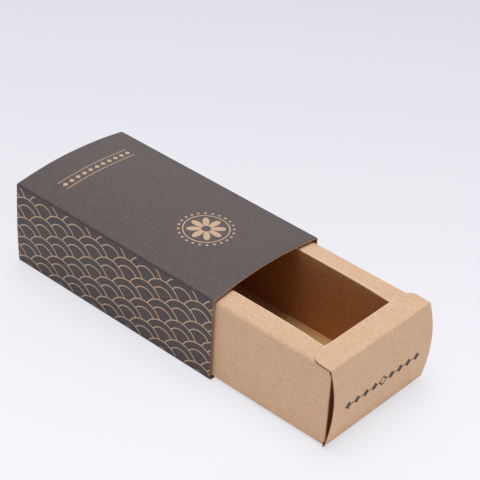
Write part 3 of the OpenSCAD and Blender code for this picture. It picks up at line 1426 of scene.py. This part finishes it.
    def end_sheets(self, end: End) -> dict[str, Sheet]:
        """Fold one end.

        Args:
            end: The end to fold.

        Returns:
            The end's sheets, by node name.
        """
        size, board = self.size, self.board
        sign, soft = end.value, board.soft_crease
        along = Vector((sign * self.end_w, 0, 0))
        start = Vector((0, sign * (self.half - soft) - self.shift, self.low_z)) - along / 2
        panel = Sheet(start, along, Vector((0, sign, 0)))
        rise = self.strip_z - self.low_z - 2 * soft
        low, high = size.end_bow_at * rise, (1 - size.end_bow_at) * rise
        low_a, high_a = bow_angle(low, size.end_bow), bow_angle(high, size.end_bow)
        panel.fold(90 - low_a, soft)
        panel.fold(low_a, arc_radius(low, low_a) + soft)
        panel.fold(high_a, arc_radius(high, high_a) + soft)
        panel.fold(90 - high_a, soft)
        strip = self._strip(panel)
        along = Vector((sign * (self.opening_w - 2 * size.flap_gap), 0, 0))
        top_z = self.strip_z - board.inner_crease
        start = Vector((0, sign * self.opening_half - self.shift, top_z)) - along / 2
        wall = Sheet(start, along, Vector((0, 0, -1)))
        wall.flat(top_z - self.floor_z - board.crease)
        tuck = wall.next_sheet(size.tuck_inset - size.flap_gap)
        tuck.fold(-90, board.foot_crease)
        tuck.flat(size.end_foot, taper=size.foot_taper)
        name = end.name.lower()
        return {
            f"{name}_end_panel": panel,
            f"{name}_top_strip": strip,
            f"{name}_inner_wall": wall,
            f"{name}_tuck_flap": tuck,
        }

    def _strip(self, panel: Sheet) -> Sheet:
        """Cut the end strip with its two ears, and turn it down at the opening.

        Args:
            panel: The end panel, grown up to the strip.

        Returns:
            The strip.
        """
        size, board = self.size, self.board
        inward = panel.heading
        strip = Sheet(panel.corner, panel.along * panel.span, inward, Sheet.strip_spacing)
        strip.flat(size.strip - board.soft_crease)
        edge = panel.corner - inward * board.soft_crease
        edge.x = 0
        tilt = math.radians(size.ear_taper)
        ear_x = self.end_w / 2 - size.ear_radius
        ear_d = size.strip - math.tan(tilt) * (ear_x - self.opening_w / 2)
        ear_d -= size.ear_radius / math.cos(tilt)
        fold_at = edge + inward * (size.strip - board.inner_crease)
        half_w = self.opening_w / 2 - size.flap_gap
        across = Vector((1, 0, 0))
        for sign in (-1, 1):
            ear = edge + sign * across * ear_x + inward * ear_d
            for cut in range(size.ear_cuts + 1):
                turn = (math.pi / 2 - tilt) * cut / size.ear_cuts
                normal = sign * across * math.cos(turn) + inward * math.sin(turn)
                strip.clip(ear + normal * size.ear_radius, normal)
        for sign in (-1, 1):
            strip.clip(sign * across * half_w, sign * across, keep=True)
        strip.clip(fold_at, inward, keep=True)
        beyond = [
            f for f in strip.mesh.faces
            if abs(f.calc_center_median().x) < half_w
            and (f.calc_center_median() - fold_at).dot(inward) > 0
        ]
        bmesh.ops.delete(strip.mesh, geom=beyond, context="FACES")
        strip.front = [
            e for e in strip.mesh.edges
            if all(abs((v.co - fold_at).dot(inward)) < Sheet.same_place
                   and abs(v.co.x) < half_w + Sheet.same_place for v in e.verts)
        ]
        strip.corner = fold_at - panel.along * half_w
        strip.corner.z = panel.corner.z
        strip.fold(90, board.inner_crease)
        return strip

    def base_sheet(self) -> Sheet:
        """Lay down the base panel.

        Returns:
            The base, seen from below.
        """
        half_x = self.body_w / 2 - self.board.crease
        half_y = self.half - self.board.soft_crease
        start = Vector((half_x, -half_y - self.shift, self.low_z))
        along = Vector((0, 2 * half_y, 0))
        return Sheet(start, along, Vector((-1, 0, 0)), Sheet.base_spacing).flat(2 * half_x)

    def raw_strip(self, point: Vector) -> bool:
        """Whether a point lies on the strip's free cut edge.

        Args:
            point: The point.

        Returns:
            True on the ears' round and tapered edges.
        """
        depth = self.half - abs(point.y + self.shift)
        level = point.z > self.strip_z - self.board.thickness - LEVEL
        clear = depth > self.board.soft_crease + LEVEL
        turned_down = self.size.strip - self.board.inner_crease - self.size.flap_gap
        mouth = abs(point.x) < self.opening_w / 2 and depth > turned_down
        return level and clear and not mouth

    def raw_side(self, point: Vector) -> bool:
        """Whether a point lies on an end panel's side edge."""
        return abs(point.x) > self.end_w / 2 - LEVEL

    def build(self, shop: Workshop) -> None:
        """Fold the blank and hand each panel and flap to the workshop.

        Args:
            shop: The workshop.
        """
        # The inner finishes hold painted shade, the feet painted bounce light, the rims and strips
        # painted highlights.
        finishes = {
            "tray_base": (shop.inside, None),
            "outer_wall": (shop.kraft, None),
            "rim": (shop.rim, None),
            "inner_wall": (shop.inside, None),
            "foot_flap": (shop.foot, None),
            "end_panel": (shop.inked, self.raw_side),
            "top_strip": (shop.strip, self.raw_strip),
            "tuck_flap": (shop.inside, None),
        }
        sheets = {"tray_base": self.base_sheet()}
        for side in Side:
            sheets.update(self.side_sheets(side))
        for end in End:
            sheets.update(self.end_sheets(end))
        for node, sheet in sheets.items():
            outer, raw = next(finishes[kind] for kind in finishes if node.endswith(kind))
            shop.piece(sheet, node, "tray", "kraft_board", outer, self.handling, raw)


# ---- studio ----


@dataclass(frozen=True)
class Softbox:
    """A rectangular light that faces the box."""

    name: str
    turn: float
    rise: float
    width: float
    height: float
    watts: float
    reach: float = 1.2
    colour: Colour = (0.985, 0.99, 1.0)
    aim: tuple = (0, -0.03, 0.02)

    def hang(self) -> None:
        """Hang the light, turned from the tray's front towards the left by its turn."""
        place = self.reach * direction(-self.turn, self.rise)
        data = bpy.data.lights.new(self.name, "AREA")
        data.shape = "RECTANGLE"
        data.size = self.width
        data.size_y = self.height
        data.energy = self.watts
        data.color = self.colour
        facing = (Vector(self.aim) - place).to_track_quat("-Z", "Y")
        lamp = new_object(self.name, data)
        lamp.matrix_world = Matrix.Translation(place) @ facing.to_matrix().to_4x4()


@dataclass(frozen=True)
class StudioPaper:
    """Pale paper that grows a little greyer with distance from the camera's side.

    The camera sees it partly as if it gave out its own colour, so that the shadows on
    it look fainter than they are.
    """

    name: str = "studio_paper"
    near: Colour = (0.945, 0.938, 0.990)
    far: Colour = (0.702, 0.712, 0.760)
    away: tuple = (0.76, 0.65)
    depths: tuple = (-0.10, 0.34)
    glow_share: float = 0.70
    gloss: Gloss = Gloss(0.9, 0.1)

    def make(self) -> bpy.types.Material:
        """Build the material.

        Returns:
            The material.
        """
        graph = Graph(self.name, self.near)
        x, y, _ = graph.place
        depth = x * self.away[0] + y * self.away[1]
        graph.lay(self.far, depth.ramp(*self.depths))
        paper = graph.shader.outputs["BSDF"]
        glow = graph.node("Emission", Color=graph.colour).outputs["Emission"]
        seen = Value(graph, graph.node("LightPath").outputs["Is Camera Ray"])
        mix = graph.node("MixShader", seen * self.glow_share, paper, glow)
        graph.feed(graph.output.inputs["Surface"], mix.outputs[0])
        return graph.finish(self.gloss)


@dataclass(frozen=True)
class Studio:
    """The photograph's view, a pale floor and soft light."""

    azimuth: float = -49.45
    elevation: float = 34.90
    roll: float = 3.30
    distance: float = 650.4 * MM
    aim: tuple = (12.25 * MM, -28.65 * MM, 31.38 * MM)
    lens: float = 126.77
    sensor: float = 36
    sight: tuple = (0.01, 50)
    floor_half: float = 6.0
    room: Colour = (0.93, 0.96, 1.0)
    room_light: float = 0.30
    softboxes: tuple[Softbox, ...] = (
        Softbox("overhead_softbox", 200, 86, 0.8, 0.8, 8.7),
        Softbox("high_left_softbox", 90, 68, 0.5, 0.5, 1.1),
        Softbox("back_softbox", 229, 30, 0.9, 0.7, 2.4),
        Softbox("left_softbox", 56, 4, 1.4, 0.16, 1.5, colour=(1.0, 0.945, 0.875)),
        Softbox("front_softbox", 345, 4, 1.4, 0.16, 2.0),
    )

    def camera(self) -> None:
        """Set up the camera."""
        back = direction(self.azimuth, self.elevation)
        right = UP.cross(back).normalized()
        turn = Matrix((right, back.cross(right), back)).transposed()
        turn = turn @ Matrix.Rotation(math.radians(self.roll), 3, "Z")
        place = Vector(self.aim) + back * self.distance
        data = bpy.data.cameras.new("photo_camera")
        data.lens = self.lens
        data.sensor_width = self.sensor
        data.clip_start, data.clip_end = self.sight
        camera = new_object("photo_camera", data)
        camera.matrix_world = Matrix.Translation(place) @ turn.to_4x4()
        bpy.context.scene.camera = camera

    def floor(self) -> None:
        """Lay the pale floor."""
        grid = bmesh.new()
        bmesh.ops.create_grid(grid, x_segments=2, y_segments=2, size=self.floor_half)
        floor = new_object("studio_floor", new_mesh("studio_floor", grid))
        floor.data.materials.append(StudioPaper().make())

    def lights(self) -> None:
        """Hang the soft lights round the box, in a dim pale room."""
        world = bpy.data.worlds.new("pale_room")
        world.use_nodes = True
        background = world.node_tree.nodes["Background"]
        background.inputs["Color"].default_value = (*self.room, 1)
        background.inputs["Strength"].default_value = self.room_light
        bpy.context.scene.world = world
        for softbox in self.softboxes:
            softbox.hang()

    def build(self) -> None:
        """Set up the whole studio."""
        self.camera()
        self.floor()
        self.lights()
        bpy.context.scene.view_settings.view_transform = "Standard"


def main() -> None:
    """Load the frame, then build the sleeve, the tray and the studio."""
    logging.basicConfig(level=logging.INFO, format="%(message)s")
    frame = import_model()
    board = Board()
    sleeve_size = SleeveSize()
    tray = Tray(TraySize(), sleeve_size, board)
    shop = Workshop(board, tray)
    Sleeve(sleeve_size, board).build(shop)
    tray.build(shop)
    for name, node in frame["nodes"].items():
        if name.endswith("_glue"):
            shop.dress(node, shop.glue)
        # The corner flaps' finish holds painted shade.
        elif name.endswith("_corner_flap"):
            shop.dress(node, shop.flap)
    Studio().build()


if __name__ == "__main__":
    main()
